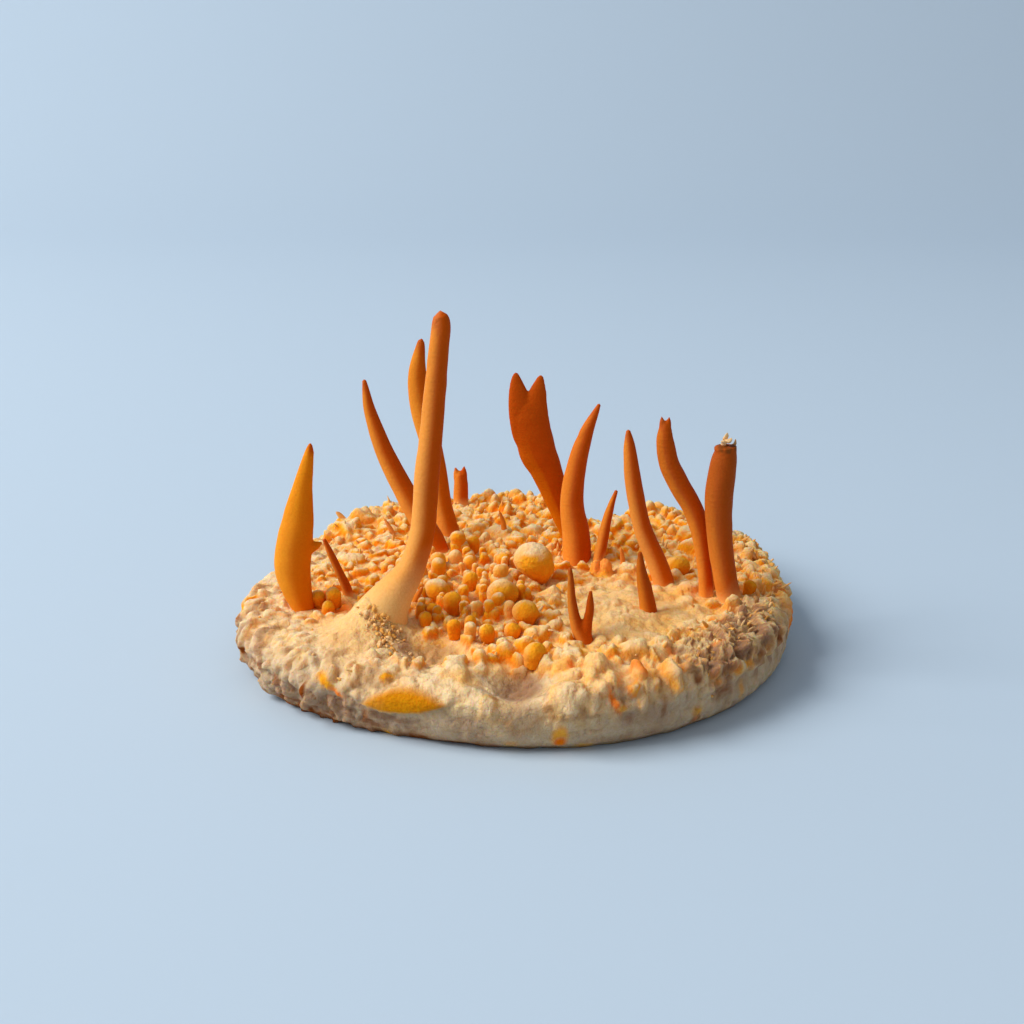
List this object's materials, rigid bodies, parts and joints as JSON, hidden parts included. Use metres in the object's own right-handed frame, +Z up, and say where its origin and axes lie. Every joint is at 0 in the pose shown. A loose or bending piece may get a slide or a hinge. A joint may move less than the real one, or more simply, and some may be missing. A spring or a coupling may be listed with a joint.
{
  "type": "cordyceps bunch",
  "caption": "Round flat-based cake of grain bound by mycelium, its lumpy top bearing slender upright clubs, blunt, pointed, forked and curved.",
  "frame": {"origin": "centre of the flat underside of the cake, on the surface that it rests on", "axes": "+Z up out of the top of the cake, -Y towards the side with the tall flared club and the small twin club, +X to that view's right"},
  "size_m": [0.0846, 0.0883, 0.0551],
  "materials": {
    "mycelium_grain": "matte",
    "club_flesh": "matte"
  },
  "bodies": {
    "root": {"substrate_cake": "mycelium_grain", "tall_club": "club_flesh", "horned_club": "club_flesh", "sprig_club": "club_flesh", "leaning_club": "club_flesh", "leaf_club": "club_flesh", "stump_club": "club_flesh", "forked_club": "club_flesh", "centre_club": "club_flesh", "thin_club": "club_flesh", "right_club": "club_flesh", "curved_club": "club_flesh", "broken_club": "club_flesh", "cone_club": "club_flesh", "twin_club": "club_flesh"}
  },
  "joints": []
}
